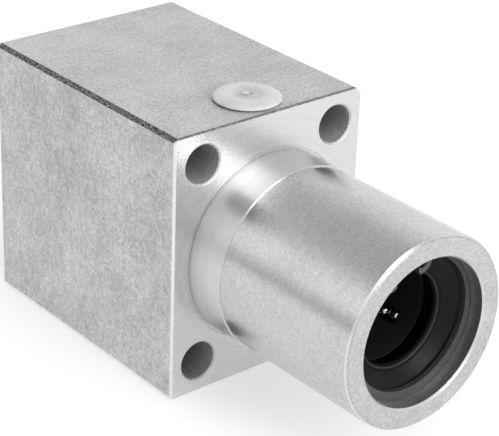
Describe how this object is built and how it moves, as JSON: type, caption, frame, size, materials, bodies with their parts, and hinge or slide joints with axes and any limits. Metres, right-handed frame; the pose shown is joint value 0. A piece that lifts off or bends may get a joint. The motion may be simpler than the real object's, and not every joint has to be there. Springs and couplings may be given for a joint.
{
  "type": "linear bearing block",
  "caption": "Aluminium linear bearing block with a turned flange spigot, ball bearings in line for a round shaft, seals, retaining rings and a plugged lubrication port.",
  "frame": {"origin": "on the bore axis, in the plane of the flange face", "axes": "+X along the bore axis towards the spigot's open end, +Z towards the lubrication port"},
  "size_m": [0.1118, 0.05, 0.0615],
  "materials": {
    "housing_aluminium": "milled faces with a matt mottled grey, turned flange face and collar brighter",
    "spring_steel": "phosphated dark grey spring steel",
    "seal_rubber": "satin black moulded rubber",
    "spacer_aluminium": "turned",
    "plug_plastic": "milky natural polyethylene",
    "bearing_steel": "ground",
    "cage_plastic": "black moulded",
    "ball_steel": "polished bearing balls"
  },
  "bodies": {
    "root": {"housing": "housing_aluminium", "front_retaining_ring": "spring_steel", "rear_retaining_ring": "spring_steel", "front_shaft_seal": "seal_rubber", "rear_shaft_seal": "seal_rubber", "spacer_ring": "spacer_aluminium", "lubrication_plug": "plug_plastic", "front_bearing_sleeve": "bearing_steel", "front_ball_cage": "cage_plastic", "front_ball_circuit_1": "ball_steel", "front_ball_circuit_2": "ball_steel", "front_ball_circuit_3": "ball_steel", "front_ball_circuit_4": "ball_steel", "front_ball_circuit_5": "ball_steel", "rear_bearing_sleeve": "bearing_steel", "rear_ball_cage": "cage_plastic", "rear_ball_circuit_1": "ball_steel", "rear_ball_circuit_2": "ball_steel", "rear_ball_circuit_3": "ball_steel", "rear_ball_circuit_4": "ball_steel", "rear_ball_circuit_5": "ball_steel"}
  },
  "joints": []
}
